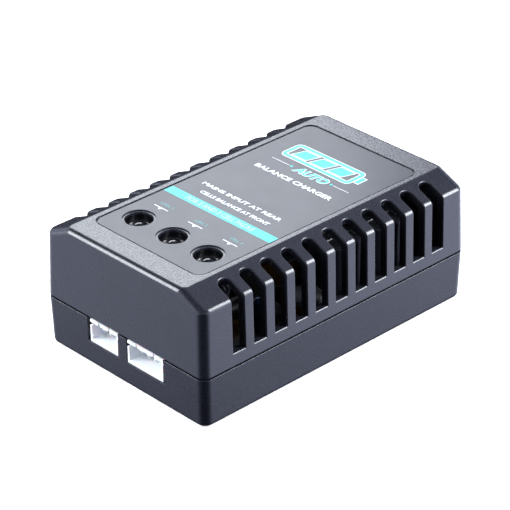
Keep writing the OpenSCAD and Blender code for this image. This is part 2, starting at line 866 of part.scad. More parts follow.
module transistor_screw() {
    head_h = 1.9;
    shank_l = 3.6;
    color([0.8, 0.8, 0.8])
    translate([tab_x + tab_t, power_y, power_screw_z])
        rotate([0, 90, 0]) {
            difference() {
                cylinder(r = 2.6, h = head_h);
                translate([0, 0, head_h / 2]) cross_recess(3, head_h);
            }
            translate([0, 0, -shank_l]) cylinder(r = 1.45, h = shank_l + 0.1);
        }
}

// self-tapping screws, heads up the wells of the lower half
module casing_screws() {
    head_h = 1.8;
    shank_l = 11;
    color([0.3, 0.3, 0.32])
    at_corners(post_x, post_y) {
        translate([0, 0, head_seat_z - head_h])
            difference() {
                cylinder(r = 2.4, h = head_h);
                translate([0, 0, -cut]) cross_recess(2.9, head_h / 2 + 0.2 + cut);
            }
        translate([0, 0, head_seat_z]) cylinder(r = screw_r, h = shank_l, $fn = fine_fn);
        translate([0, 0, head_seat_z + shank_l])
            cylinder(r1 = screw_r, r2 = 0.3, h = 1.2, $fn = fine_fn);
    }
}

upper_casing();
lower_casing();
top_label();
status_lamp(0);  // status_lamp_1
status_lamp(1);  // status_lamp_2
status_lamp(2);  // status_lamp_3
lamp_spacer(0);  // lamp_spacer_1
lamp_spacer(1);  // lamp_spacer_2
lamp_spacer(2);  // lamp_spacer_3
lamp_leads(0);  // lamp_leads_1
lamp_leads(1);  // lamp_leads_2
lamp_leads(2);  // lamp_leads_3
balance_socket(0);  // balance_socket_3_way
balance_socket(1);  // balance_socket_4_way
socket_contacts(0);  // socket_contacts_3_way
socket_contacts(1);  // socket_contacts_4_way
mains_inlet();
inlet_pins();
main_board();
transformer_core();
transformer_bobbin();
transformer_winding();
transformer_tape();
transformer_pins();
bulk_capacitor(0);  // bulk_capacitor_rear
bulk_capacitor(1);  // bulk_capacitor_front
output_capacitor(0);  // output_capacitor_1
output_capacitor(1);  // output_capacitor_2
output_capacitor(2);  // output_capacitor_3
mains_fuse();
inrush_thermistor();
rectifier_diode(0);  // rectifier_diode_1
rectifier_diode(1);  // rectifier_diode_2
rectifier_diode(2);  // rectifier_diode_3
rectifier_diode(3);  // rectifier_diode_4
output_diode(0);  // output_diode_1
output_diode(1);  // output_diode_2
output_diode(2);  // output_diode_3
charge_transistor(0);  // charge_transistor_1
charge_transistor(1);  // charge_transistor_2
charge_transistor(2);  // charge_transistor_3
sense_resistor(0);  // sense_resistor_1
sense_resistor(1);  // sense_resistor_2
sense_resistor(2);  // sense_resistor_3
filter_choke_core();
filter_choke_coil();
suppression_capacitor();
optocoupler();
control_chip();
heat_sink();
power_transistor();
transistor_screw();
casing_screws();
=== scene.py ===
import math

import bmesh
import bpy
from mathutils import Matrix, Quaternion, Vector


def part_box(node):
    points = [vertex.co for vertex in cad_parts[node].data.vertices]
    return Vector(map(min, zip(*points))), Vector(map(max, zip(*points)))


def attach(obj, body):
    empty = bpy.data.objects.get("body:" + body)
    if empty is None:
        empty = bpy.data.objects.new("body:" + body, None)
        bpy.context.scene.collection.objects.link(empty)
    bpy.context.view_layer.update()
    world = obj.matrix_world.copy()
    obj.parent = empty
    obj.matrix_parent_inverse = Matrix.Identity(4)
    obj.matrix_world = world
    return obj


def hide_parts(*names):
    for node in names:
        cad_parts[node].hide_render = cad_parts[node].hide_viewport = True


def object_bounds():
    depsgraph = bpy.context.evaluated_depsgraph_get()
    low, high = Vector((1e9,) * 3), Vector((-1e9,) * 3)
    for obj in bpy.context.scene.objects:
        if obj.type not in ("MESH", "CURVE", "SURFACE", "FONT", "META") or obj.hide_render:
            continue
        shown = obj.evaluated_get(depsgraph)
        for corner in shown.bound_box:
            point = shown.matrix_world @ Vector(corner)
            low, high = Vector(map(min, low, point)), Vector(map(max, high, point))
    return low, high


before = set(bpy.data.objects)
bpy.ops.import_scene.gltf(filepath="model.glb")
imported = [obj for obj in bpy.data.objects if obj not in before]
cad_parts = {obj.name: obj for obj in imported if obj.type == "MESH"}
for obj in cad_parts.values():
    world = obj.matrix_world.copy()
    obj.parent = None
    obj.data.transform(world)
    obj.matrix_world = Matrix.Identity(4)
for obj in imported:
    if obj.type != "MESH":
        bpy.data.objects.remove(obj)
cad_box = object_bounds()


# ---------------------------------------------------------------- camera
# The charger is seen from above its front right corner, through a long lens, so that the
# crown, the two sockets and one row of vent slots all show.
scene = bpy.context.scene
millimetre = 0.001
view_azimuth = math.radians(46.56)
view_elevation = math.radians(29.62)
view_roll = math.radians(-0.48)
view_distance = 587.4 * millimetre
aim = Vector((-0.36, -0.86, 17.79)) * millimetre
lens_length, film_width = 170.5, 36


def compass(azimuth, elevation):
    """A unit vector from the charger, by compass turn from the sockets' side and by height."""
    return Vector((
        math.sin(azimuth) * math.cos(elevation),
        -math.cos(azimuth) * math.cos(elevation),
        math.sin(elevation),
    ))


towards_camera = compass(view_azimuth, view_elevation)
camera_data = bpy.data.cameras.new("camera")
camera_data.lens = lens_length
camera_data.sensor_width = film_width
camera = bpy.data.objects.new("camera", camera_data)
camera.location = aim + towards_camera * view_distance
camera.rotation_mode = "QUATERNION"
camera.rotation_quaternion = (
    (-towards_camera).to_track_quat("-Z", "Y") @ Quaternion((0, 0, 1), view_roll)
)
scene.collection.objects.link(camera)
scene.camera = camera


# ---------------------------------------------------------------- studio
# A pale floor in a soft white room. One softbox behind the charger lights its crown, one on
# each side draws a bright line along its rounded edges, and one in front fills the shadows.
class Field:
    """One output of a node: a number, colour or vector that varies over a surface."""

    def __init__(self, wiring, socket):
        self.wiring, self.socket = wiring, socket

    def maths(self, operation, *operands):
        return self.wiring.add(
            "ShaderNodeMath", {"operation": operation}, dict(enumerate(operands))
        )

    def maths_of(self, operation):
        return self.maths(operation, self)

    def __add__(self, other):
        return self.maths("ADD", self, other)

    def __sub__(self, other):
        return self.maths("SUBTRACT", self, other)

    def __rsub__(self, other):
        return self.maths("SUBTRACT", other, self)

    def __mul__(self, other):
        return self.maths("MULTIPLY", self, other)

    def __pow__(self, other):
        return self.maths("POWER", self, other)

    def __gt__(self, other):
        return self.maths("GREATER_THAN", self, other)

    def __lt__(self, other):
        return self.maths("LESS_THAN", self, other)

    __radd__ = __add__
    __rmul__ = __mul__


class Wiring:
    """The node tree of a material or a world."""

    def __init__(self, owner):
        owner.use_nodes = True
        self.nodes, self.links = owner.node_tree.nodes, owner.node_tree.links

    def add(self, kind, settings=None, sockets=None, output=0):
        """A node of one kind, with its settings first and then its sockets' values or links."""
        node = self.nodes.new(kind)
        for name, value in (settings or {}).items():
            setattr(node, name, value)
        for name, value in (sockets or {}).items():
            self.feed(node.inputs[name], value)
        return Field(self, node.outputs[output])

    def feed(self, socket, value):
        if isinstance(value, Field):
            self.links.new(value.socket, socket)
        else:
            socket.default_value = value

    def rise(self, value, low, high):
        """0 below low, 1 above high, and a smooth step between them."""
        return self.add(
            "ShaderNodeMapRange", {"interpolation_type": "SMOOTHSTEP"},
            {"Value": value, "From Min": low, "From Max": high},
        )


floor_size, floor_drop, floor_glow = 6.0, 0.0001, 0.35
floor_grid = bmesh.new()
bmesh.ops.create_grid(floor_grid, x_segments=1, y_segments=1, size=floor_size / 2)
bmesh.ops.translate(floor_grid, verts=floor_grid.verts, vec=(0, 0, -floor_drop))
floor_data = bpy.data.meshes.new("studio_floor")
floor_grid.to_mesh(floor_data)
floor_grid.free()
floor = bpy.data.objects.new("studio_floor", floor_data)
floor_paint = bpy.data.materials.new("studio_floor_paint")
floor_wiring = Wiring(floor_paint)
floor_shader = floor_wiring.nodes["Principled BSDF"]
floor_shader.inputs["Base Color"].default_value = (0.94, 0.92, 0.88, 1)
floor_shader.inputs["Roughness"].default_value = 0.8
floor_shader.inputs["Emission Color"].default_value = (0.98, 0.99, 1, 1)
floor_shader.inputs["Emission Strength"].default_value = floor_glow
# The floor is clear from below, so that the underside can be looked at.
seen_from_below = floor_wiring.add("ShaderNodeNewGeometry", output="Backfacing")
floor_wiring.feed(floor_shader.inputs["Alpha"], 1 - seen_from_below)
floor_data.materials.append(floor_paint)
floor.visible_glossy = False
floor.visible_diffuse = False
scene.collection.objects.link(floor)

scene.view_settings.view_transform = "Standard"
room_tint = (0.86, 0.93, 1.2, 1)
room = bpy.data.worlds.new("studio_room")
scene.world = room
room_wiring = Wiring(room)
looking = room_wiring.add("ShaderNodeTexCoord", output="Generated")
height = room_wiring.add("ShaderNodeSeparateXYZ", sockets={0: looking}, output="Z")


def glow(azimuth, elevation, low, high):
    """A soft patch of the room, 1 where the cosine of the angle to its middle is above high."""
    closeness = room_wiring.add(
        "ShaderNodeVectorMath", {"operation": "DOT_PRODUCT"},
        {0: looking, 1: compass(math.radians(azimuth), math.radians(elevation))},
        output="Value",
    )
    return room_wiring.rise(closeness, low, high)


walls = 1.35 + 1.1 * glow(134, -28, low=0.3, high=0.95)
near_flag = glow(46, -28, low=0.45, high=0.84)
far_flag = glow(235, -9, low=0.78, high=0.93)
skirting = room_wiring.rise(height, -0.61, -0.48)
ceiling = room_wiring.rise(height, 0.3, 0.62)
skylight = glow(184, 69, low=0.9, high=0.99)
brightness = (
    walls * (0.12 + 0.88 * skirting) * (1 - 0.95 * near_flag) * (1 - 0.96 * far_flag)
    * (1 - 0.9 * ceiling) + 0.75 * skylight
)
room_background = room_wiring.nodes["Background"]
room_background.inputs["Color"].default_value = room_tint
room_wiring.feed(room_background.inputs["Strength"], brightness)


def softbox(name, azimuth, elevation, distance, size, radiance):
    """A rectangular lamp of (width, height) that faces the crown from a compass direction."""
    outwards = compass(math.radians(azimuth), math.radians(elevation))
    lamp = bpy.data.lights.new(name, "AREA")
    lamp.shape = "RECTANGLE"
    lamp.size, lamp.size_y = size
    lamp.energy = radiance * math.pi * size[0] * size[1]
    lamp.color = (0.91, 0.95, 1.0)
    holder = bpy.data.objects.new(name, lamp)
    holder.location = Vector((0, 0, cad_box[1].z)) + outwards * distance
    holder.rotation_mode = "QUATERNION"
    holder.rotation_quaternion = (-outwards).to_track_quat("-Z", "Y")
    scene.collection.objects.link(holder)
    return holder


softbox("softbox_behind", azimuth=241, elevation=33, distance=0.45, size=(0.32, 0.18), radiance=7.0)
softbox("softbox_left", azimuth=-43, elevation=17, distance=0.7, size=(0.24, 0.46), radiance=18)
softbox("softbox_right", azimuth=136, elevation=28, distance=0.7, size=(0.28, 0.5), radiance=23)
fill = softbox(
    "softbox_fill", azimuth=-12, elevation=50, distance=0.9, size=(0.5, 0.5), radiance=5.5,
)
fill.visible_glossy = False


# ---------------------------------------------------------------- lower casing
# The tray that everything is screwed into: injection-moulded black ABS with a fine
# spark-eroded grain, four screw posts, board pegs and an inner lip that the upper half fits.
class Finish(Wiring):
    """One procedural material, from a base colour and the fields that vary it."""

    def __init__(self, name, colour, roughness, metallic=0.0, **constants):
        self.material = bpy.data.materials.new(name)
        super().__init__(self.material)
        self.shader = self.nodes["Principled BSDF"]
        self.colour, self.roughness, self.normal = (*colour, 1), roughness, None
        self.shader.inputs["Base Color"].default_value = self.colour
        self.shader.inputs["Roughness"].default_value = roughness
        self.shader.inputs["Metallic"].default_value = metallic
        for socket, value in constants.items():
            self.shader.inputs[socket.replace("_", " ")].default_value = value
        self.place = self.add("ShaderNodeTexCoord", output="Object")

    def axis(self, letter):
        """One coordinate of the surface point, in millimetres."""
        along = self.add("ShaderNodeSeparateXYZ", sockets={0: self.place}, output=letter)
        return along * (1 / millimetre)

    def noise(self, size, detail=3.0, stretch=(1, 1, 1)):
        """Soft noise about 0.5 whose blobs are size millimetres across."""
        spot = self.add("ShaderNodeMapping", sockets={"Vector": self.place, "Scale": stretch})
        return self.add(
            "ShaderNodeTexNoise",
            sockets={"Vector": spot, "Scale": 1 / (size * millimetre), "Detail": detail},
        )

    def tint(self, mask, colour):
        """Shifts the base colour to another one where mask is 1."""
        mixer = self.nodes.new("ShaderNodeMix")
        mixer.data_type = "RGBA"
        factor, first, second = (mixer.inputs[i] for i in (0, 6, 7))
        self.feed(factor, mask)
        self.feed(first, self.colour)
        self.feed(second, (*colour, 1))
        self.colour = Field(self, mixer.outputs[2])
        self.feed(self.shader.inputs["Base Color"], self.colour)

    def polish(self, change):
        """Adds a varying change to the roughness."""
        self.roughness = self.roughness + change
        self.feed(self.shader.inputs["Roughness"], self.roughness)

    def relief(self, height, depth):
        """Raises the surface by height times depth millimetres, on top of earlier relief."""
        sockets = {"Height": height, "Distance": depth * millimetre}
        if self.normal:
            sockets["Normal"] = self.normal
        self.normal = self.add("ShaderNodeBump", sockets=sockets)
        self.feed(self.shader.inputs["Normal"], self.normal)

    def edge_wear_and_sheen(self, reach, colour, smoother):
        """Paints a paler, smoother line along edges, broken up by noise: part edge wear, part
        painted highlight.
        """
        rounded = self.add("ShaderNodeBevel", {"samples": 4}, {"Radius": reach * millimetre})
        true = self.add("ShaderNodeNewGeometry", output="Normal")
        agreement = self.add(
            "ShaderNodeVectorMath", {"operation": "DOT_PRODUCT"}, {0: rounded, 1: true},
            output="Value",
        )
        # The paler edge line is partly wear and partly a painted highlight.
        wear_and_sheen = self.rise(1 - agreement, 0.02, 0.2) * self.rise(self.noise(1.6), 0.42, 0.62)
        self.tint(wear_and_sheen * 0.5, colour)
        self.polish(wear_and_sheen * -smoother)


def casing_plastic(name, grain, gloss):
    """Black ABS out of a spark-eroded mould, a little bluish, paler on its edges as wear and
    painted highlight.

    grain is the depth of the spark marks in mm, and gloss is the refractive index.
    """
    plastic = Finish(name, (0.008, 0.0085, 0.0135), 0.27, IOR=gloss)
    plastic.tint(plastic.rise(plastic.noise(9), 0.35, 0.7), (0.01, 0.0105, 0.016))
    plastic.tint(plastic.rise(plastic.noise(0.3, detail=2), 0.4, 0.7), (0.015, 0.0155, 0.022))
    plastic.polish((plastic.noise(2.2) - 0.5) * 0.1)
    plastic.polish((plastic.noise(0.3) - 0.5) * 0.14)
    # Paler edges: partly wear, partly a painted highlight.
    plastic.edge_wear_and_sheen(0.3, (0.04, 0.042, 0.05), 0.05)
    plastic.relief(plastic.noise(0.35, detail=2), grain)
    return plastic


def merged_copy(node):
    """A CAD node's shape as one welded mesh with its flat faces whole again."""
    shape = bmesh.new()
    shape.from_mesh(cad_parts[node].data)
    bmesh.ops.remove_doubles(shape, verts=shape.verts, dist=2e-6)
    bmesh.ops.dissolve_limit(
        shape, angle_limit=math.radians(0.6), use_dissolve_boundaries=False,
        verts=shape.verts, edges=shape.edges, delimit={"NORMAL"},
    )
    return shape


def finished(name, shape, finishes, replaces=(), edge=0.0, choose=None):
    """Puts a shape in the scene with its finishes and its sharp edges rounded by edge mm.

    choose gives the number of a face's finish from its centre in mm and its normal.
    Flat faces keep flat reflections, because the rounded edges take their normals from them.
    """
    if choose:
        for face in shape.faces:
            face.material_index = choose(face.calc_center_median() / millimetre, face.normal)
    data = bpy.data.meshes.new(name)
    shape.to_mesh(data)
    shape.free()
    data.shade_smooth()
    for finish in finishes:
        data.materials.append(finish.material)
    piece = bpy.data.objects.new(name, data)
    scene.collection.objects.link(piece)
    if edge:
        rounding = piece.modifiers.new("edge_rounding", "BEVEL")
        rounding.width = edge * millimetre
        rounding.segments = 2
        rounding.limit_method = "ANGLE"
        rounding.angle_limit = math.radians(32)
        rounding.use_clamp_overlap = False
        flat_reflections = piece.modifiers.new("flat_reflections", "WEIGHTED_NORMAL")
        flat_reflections.weight = 100
    else:
        data.set_sharp_from_angle(angle=math.radians(50))
    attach(piece, "root")
    if replaces:
        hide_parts(*replaces)
    return piece


lower_plastic = casing_plastic("lower_casing_plastic", grain=0.014, gloss=1.485)
finished("lower_casing_shell", merged_copy("lower_casing"), [lower_plastic],
         ["lower_casing"], edge=0.08)


# ---------------------------------------------------------------- main board
# One sheet of brown paper laminate on the tray's pegs, drilled for every lead, with a
# green lacquer underneath and copper tracks that show through it.
def board_laminate():
    laminate = Finish("board_laminate", (0.16, 0.1, 0.035), 0.5)
    fibre = laminate.noise(0.5, detail=6, stretch=(1, 0.3, 1))
    laminate.tint(laminate.rise(fibre, 0.4, 0.65), (0.2, 0.13, 0.05))
    board_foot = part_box("main_board")[0].z / millimetre
    below = laminate.axis("Z") < (board_foot + 0.05)
    lacquer = (0.01, 0.09, 0.035)
    laminate.tint(below, lacquer)
    tracks = laminate.rise(laminate.noise(5.0, detail=1), 0.5, 0.52) * below
    laminate.tint(tracks, (0.02, 0.17, 0.06))
    laminate.polish(below * -0.25)
    laminate.relief(laminate.noise(0.3), 0.01)
    return laminate


finished("main_board_sheet", merged_copy("main_board"), [board_laminate()],
         ["main_board"], edge=0.06)


# ---------------------------------------------------------------- leads
# Tinned copper leads and pins: bright grey metal with a slightly uneven dip of solder.
def tinned_metal():
    metal = Finish("tinned_metal", (0.62, 0.62, 0.63), 0.28, metallic=1.0)
    metal.polish((metal.noise(0.6) - 0.5) * 0.25)
    metal.relief(metal.noise(0.4), 0.008)
    return metal


tinned = tinned_metal()
for node in ("lamp_leads_1", "lamp_leads_2", "lamp_leads_3", "transformer_pins"):
    finished(node + "_wire", merged_copy(node), [tinned], [node], edge=0.05)


# ---------------------------------------------------------------- transformer
# Two ground ferrite halves clamped round a black bobbin by tape, with the winding under
# its own wrap of amber polyester tape.
def ground_ferrite():
    ferrite = Finish("ground_ferrite", (0.045, 0.045, 0.048), 0.55)
    ferrite.tint(ferrite.rise(ferrite.noise(0.3, detail=8), 0.5, 0.7), (0.09, 0.09, 0.095))
    ferrite.polish((ferrite.noise(1.5, stretch=(1, 0.1, 1)) - 0.5) * 0.3)
    ferrite.edge_wear_and_sheen(0.3, (0.16, 0.16, 0.17), 0.1)
    ferrite.relief(ferrite.noise(0.15, detail=4), 0.02)
    return ferrite


def bobbin_plastic():
    plastic = Finish("bobbin_plastic", (0.015, 0.015, 0.017), 0.42)
    plastic.polish((plastic.noise(1.2) - 0.5) * 0.2)
    plastic.edge_wear_and_sheen(0.3, (0.06, 0.06, 0.065), 0.05)
    plastic.relief(plastic.noise(0.25), 0.01)
    return plastic


def amber_tape(name, colour, ripple):
    """Polyester tape: glossy, a little uneven in tone, wound in overlapping layers."""
    tape = Finish(name, colour, 0.22, Coat_Weight=0.4, Coat_Roughness=0.1)
    darker = [shade * 0.6 for shade in colour]
    tape.tint(tape.rise(tape.noise(3.0, detail=5), 0.4, 0.7), darker)
    tape.relief(tape.noise(ripple, detail=2, stretch=(0.3, 1.5, 0.3)), 0.05)
    return tape


ferrite, bobbin = ground_ferrite(), bobbin_plastic()
finished("transformer_core_halves", merged_copy("transformer_core"), [ferrite],
         ["transformer_core"], edge=0.2)
finished("transformer_bobbin_frame", merged_copy("transformer_bobbin"), [bobbin],
         ["transformer_bobbin"], edge=0.15)
# Both tapes are painted at about half their own amber, as shade inside the hood.
finished("transformer_winding_wrap", merged_copy("transformer_winding"),
         [amber_tape("winding_wrap", (0.06, 0.026, 0.005), 1.1)],
         ["transformer_winding"], edge=0.2)
finished("transformer_core_tape", merged_copy("transformer_tape"),
         [amber_tape("core_tape", (0.07, 0.032, 0.005), 2.0)],
         ["transformer_tape"], edge=0.05)


# ---------------------------------------------------------------- capacitors
# Aluminium cans in a shrunk dark sleeve with a pale stripe down the negative side. The top
# is bare aluminium, sunk inside the sleeve's turned-over lip and scored so that it can vent.
def shrunk_sleeve():
    sleeve = Finish("shrunk_sleeve", (0.006, 0.007, 0.014), 0.5)
    sleeve.polish((sleeve.noise(1.5) - 0.5) * 0.2)
    sleeve.relief(sleeve.noise(2.5, detail=1), 0.04)
    return sleeve


# The stripe is painted a darker grey than its own pale one, as shade inside the hood.
def sleeve_stripe():
    stripe = Finish("sleeve_stripe", (0.09, 0.092, 0.1), 0.5)
    dash_pitch = 3.2
    dashes = (stripe.axis("Z") * (1 / dash_pitch)).maths_of("FRACT") < 0.3
    stripe.tint(dashes, (0.008, 0.01, 0.022))
    stripe.relief(stripe.noise(2.5, detail=1), 0.03)
    return stripe


# The aluminium is painted darker than bare aluminium, as shade inside the hood.
def can_aluminium():
    metal = Finish("can_aluminium", (0.32, 0.33, 0.34), 0.4, metallic=1.0)
    metal.polish((metal.noise(0.5, stretch=(1, 0.15, 1)) - 0.5) * 0.3)
    metal.relief(metal.noise(0.3), 0.01)
    return metal


sleeve, stripe, aluminium = shrunk_sleeve(), sleeve_stripe(), can_aluminium()
sleeve_lip, sleeve_step, sleeve_fold = 0.9, 0.3, 0.05
score_width, score_depth = 0.5, 0.25
solder_rise = 0.25
board_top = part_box("main_board")[1].z / millimetre


def capacitor(node):
    """The can with its top sunk inside the lip, and a vent cross pressed into it."""
    low, high = (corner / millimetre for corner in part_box(node))
    centre = (low + high) / 2
    can_foot = board_top + solder_rise
    shape = merged_copy(node)
    top = max(shape.faces, key=lambda face: face.calc_area() * (face.normal.z > 0.9))
    bmesh.ops.inset_individual(shape, faces=[top], thickness=sleeve_lip * millimetre)
    bmesh.ops.inset_individual(
        shape, faces=[top], depth=-sleeve_step * millimetre,
        thickness=sleeve_fold * millimetre,
    )
    sunk_z = high.z - sleeve_step
    for direction in (Vector((1, 0, 0)), Vector((0, 1, 0))):
        for side in (-1, 1):
            sunk = [face for face in shape.faces if face.normal.z > 0.9
                    and abs(face.calc_center_median().z / millimetre - sunk_z) < 0.02]
            around = {edge for face in sunk for edge in face.edges}
            corners = {vertex for face in sunk for vertex in face.verts}
            bmesh.ops.bisect_plane(
                shape, geom=[*sunk, *around, *corners], dist=1e-7, plane_no=direction,
                plane_co=(centre + direction * side * score_width / 2) * millimetre,
            )
    cross = []
    for face in shape.faces:
        spot = face.calc_center_median() / millimetre - Vector((centre.x, centre.y, sunk_z))
        if face.normal.z > 0.9 and abs(spot.z) < 0.02 and min(abs(spot.x), abs(spot.y)) < 0.01:
            cross.append(face)
    pressed = bmesh.ops.extrude_face_region(shape, geom=cross)["geom"]
    bmesh.ops.translate(
        shape, vec=(0, 0, -score_depth * millimetre),
        verts=[part for part in pressed if isinstance(part, bmesh.types.BMVert)],
    )
    bmesh.ops.delete(shape, geom=cross, context="FACES_ONLY")

    def finish_of(spot, normal):
        if spot.z < can_foot:
            return 3
        outwards = Vector((spot.x - centre.x, spot.y - centre.y, 0))
        rim = (high.x - low.x) / 2 - sleeve_lip
        if spot.z > sunk_z - 1 and outwards.length < rim + 0.02:
            return 2
        return 1 if outwards.length > rim and outwards.normalized().x < -0.92 else 0

    finished(node + "_can", shape, [sleeve, stripe, aluminium, tinned], [node],
             edge=0.08, choose=finish_of)


for node in ("bulk_capacitor_rear", "bulk_capacitor_front",
             "output_capacitor_1", "output_capacitor_2", "output_capacitor_3"):
    capacitor(node)


# ---------------------------------------------------------------- axial parts
# The fuse, diodes and resistors: round moulded or lacquered bodies lying along the board
# on bent leads, told apart by the bands printed round them.
def banded_body(name, colour, roughness, centre_y, bands):
    """A body finish with bands given as (from, to, colour), in mm from the body's middle."""
    body = Finish(name, colour, roughness)
    along = body.axis("Y") - centre_y
    for start, end, band_colour in bands:
        body.tint((along > start) * (along < end), band_colour)
    body.polish((body.noise(0.8) - 0.5) * 0.2)
    body.relief(body.noise(0.5), 0.02)
    return body


def middle_y(node):
    low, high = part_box(node)
    return (low.y + high.y) / 2 / millimetre


def axial_part(node, body, half_length):
    """A body half_length to each side of its middle, with bare leads beyond it."""
    middle = middle_y(node)
    finished(node + "_body", merged_copy(node), [body, tinned], [node], edge=0.15,
             choose=lambda spot, normal: int(abs(spot.y - middle) > half_length))


silver = (0.45, 0.45, 0.46)
rectifier_epoxy = banded_body("rectifier_epoxy", (0.012, 0.012, 0.013), 0.45,
                              middle_y("rectifier_diode_1"), [(1.3, 2.0, silver)])
output_epoxy = banded_body("output_diode_epoxy", (0.012, 0.012, 0.013), 0.45,
                           middle_y("output_diode_1"), [(2.4, 3.4, silver)])
resistor_lacquer = banded_body(
    "resistor_lacquer", (0.05, 0.16, 0.24), 0.25, middle_y("sense_resistor_1"),
    [(-2.2, -1.7, (0.25, 0.02, 0.02)), (-1.0, -0.5, (0.02, 0.02, 0.02)),
     (0.2, 0.7, silver), (1.7, 2.2, (0.3, 0.2, 0.03))],
)
fuse_ceramic = banded_body("fuse_ceramic", (0.42, 0.36, 0.26), 0.4, middle_y("mains_fuse"),
                           [(-5.1, -3.6, silver), (3.6, 5.1, silver)])
for number in ("1", "2", "3", "4"):
    axial_part("rectifier_diode_" + number, rectifier_epoxy, 2.7)
for number in ("1", "2", "3"):
    axial_part("output_diode_" + number, output_epoxy, 4.4)
    axial_part("sense_resistor_" + number, resistor_lacquer, 3.3)
axial_part("mains_fuse", fuse_ceramic, 5.1)


# ---------------------------------------------------------------- discs
# The thermistor and the suppression capacitor: pressed discs on two leads, dipped in a
# thick glossy coat that gathers in soft lumps.
def dipped_coat(name, colour):
    coat = Finish(name, colour, 0.2, Coat_Weight=0.6, Coat_Roughness=0.08)
    coat.tint(coat.rise(coat.noise(2.0), 0.4, 0.7), [shade * 0.7 for shade in colour])
    coat.relief(coat.noise(1.4, detail=1), 0.15)
    return coat


disc_height = 8.6
# The suppression capacitor's blue is painted darker than its own mid blue, as shade inside the
# hood.
for node, coat, slot in (
    ("inrush_thermistor", dipped_coat("thermistor_coat", (0.012, 0.03, 0.018)), "thermistor_coat"),
    ("suppression_capacitor", dipped_coat("disc_coat", (0.006, 0.02, 0.06)), "disc_coat"),
):
    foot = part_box(node)[1].z / millimetre - disc_height
    finished(node + "_disc", merged_copy(node), [coat, tinned], [node], edge=0.7,
             choose=lambda spot, normal: int(spot.z < foot))


# ---------------------------------------------------------------- filter choke
# A ferrite drum with enamelled copper wire wound between its flanges in close turns.
wire_radius, wire_overlap = 0.3, 1.03
coil_steps = 40


def enamelled_copper():
    copper = Finish("enamelled_copper", (0.45, 0.17, 0.06), 0.25, metallic=1.0)
    copper.tint(copper.rise(copper.noise(1.0), 0.4, 0.7), (0.3, 0.1, 0.035))
    copper.polish((copper.noise(0.5) - 0.5) * 0.15)
    copper.relief(copper.noise(0.4), 0.01)
    return copper


coil_low, coil_high = (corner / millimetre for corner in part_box("filter_choke_coil"))
coil_axis = (coil_low + coil_high) / 2
coil_radius = (coil_high.x - coil_low.x) / 2
coil_turns = int((coil_high.z - coil_low.z) / (2 * wire_radius))
coil = bmesh.new()
for turn in range(coil_turns):
    ring = bmesh.ops.create_circle(
        coil, segments=8, radius=wire_radius * wire_overlap,
    )["verts"]
    stand_up = Matrix.Rotation(math.pi / 2, 4, "X")
    turn_z = coil_low.z + (2 * turn + 1.05) * wire_radius
    spot = Vector((coil_radius - wire_radius * 1.05, 0, turn_z))
    bmesh.ops.transform(coil, verts=ring, matrix=Matrix.Translation(spot) @ stand_up)
    edges = list({edge for vertex in ring for edge in vertex.link_edges})
    bmesh.ops.spin(coil, geom=ring + edges, cent=(0, 0, 0), axis=(0, 0, 1),
                   angle=math.tau, steps=coil_steps, use_merge=True)
bmesh.ops.remove_doubles(coil, verts=coil.verts, dist=1e-4)
bmesh.ops.recalc_face_normals(coil, faces=coil.faces)
bmesh.ops.translate(coil, verts=coil.verts, vec=Vector((coil_axis.x, coil_axis.y, 0)))
bmesh.ops.scale(coil, verts=coil.verts, vec=(millimetre,) * 3)
finished("filter_choke_turns", coil, [enamelled_copper()], ["filter_choke_coil"])
finished("filter_choke_drum", merged_copy("filter_choke_core"), [ferrite, tinned],
         ["filter_choke_core"], edge=0.12,
         choose=lambda spot, normal: int(spot.z < board_top + solder_rise))


# ---------------------------------------------------------------- moulded packages
# The control chip, optocoupler, small transistors and power transistor: epoxy bodies
# moulded round bent metal feet.
def package_epoxy(name, colour):
    epoxy = Finish(name, colour, 0.5)
    epoxy.tint(epoxy.rise(epoxy.noise(0.25, detail=6), 0.5, 0.75), [c * 1.8 for c in colour])
    epoxy.polish((epoxy.noise(0.6) - 0.5) * 0.15)
    epoxy.relief(epoxy.noise(0.12), 0.012)
    return epoxy


def package(node, name, epoxy, is_metal, edge=0.1):
    low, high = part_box(node)
    middle = (low + high) / 2 / millimetre
    finished(name, merged_copy(node), [epoxy, tinned], [node], edge=edge,
             choose=lambda spot, normal: int(is_metal(spot - middle, spot)))


black_epoxy = package_epoxy("black_epoxy", (0.013, 0.013, 0.014))
chip_half, coupler_half, coupler_foot = 1.96, 3.21, 0.4
small_body_foot, power_tab_foot, power_body_foot = 1.95, 6.5, 10.5
package("control_chip", "control_chip_package", black_epoxy,
        lambda offset, spot: abs(offset.x) > chip_half, edge=0.05)
package("optocoupler", "optocoupler_package", package_epoxy("pale_epoxy", (0.16, 0.16, 0.15)),
        lambda offset, spot: abs(offset.x) > coupler_half or spot.z < board_top + coupler_foot)
for number in ("1", "2", "3"):
    package("charge_transistor_" + number, f"charge_transistor_{number}_package", black_epoxy,
            lambda offset, spot: spot.z < board_top + small_body_foot)
package("power_transistor", "power_transistor_package", black_epoxy,
        lambda offset, spot: offset.z > power_tab_foot or spot.z < power_body_foot, edge=0.15)


# ---------------------------------------------------------------- heat sink
# A strip of rolled aluminium sheet standing on edge, with the power transistor's tab
# clamped to it by one cross-headed screw.
def rolled_aluminium():
    metal = Finish("rolled_aluminium", (0.5, 0.51, 0.53), 0.4, metallic=1.0)
    grain = metal.noise(0.4, detail=6, stretch=(1, 0.04, 1))
    metal.polish((grain - 0.5) * 0.3)
    metal.relief(grain, 0.01)
    metal.edge_wear_and_sheen(0.3, (0.7, 0.7, 0.72), 0.1)
    return metal


finished("heat_sink_sheet", merged_copy("heat_sink"), [rolled_aluminium()],
         ["heat_sink"], edge=0.15)
finished("heat_sink_screw", merged_copy("transistor_screw"), [tinned],
         ["transistor_screw"], edge=0.1)


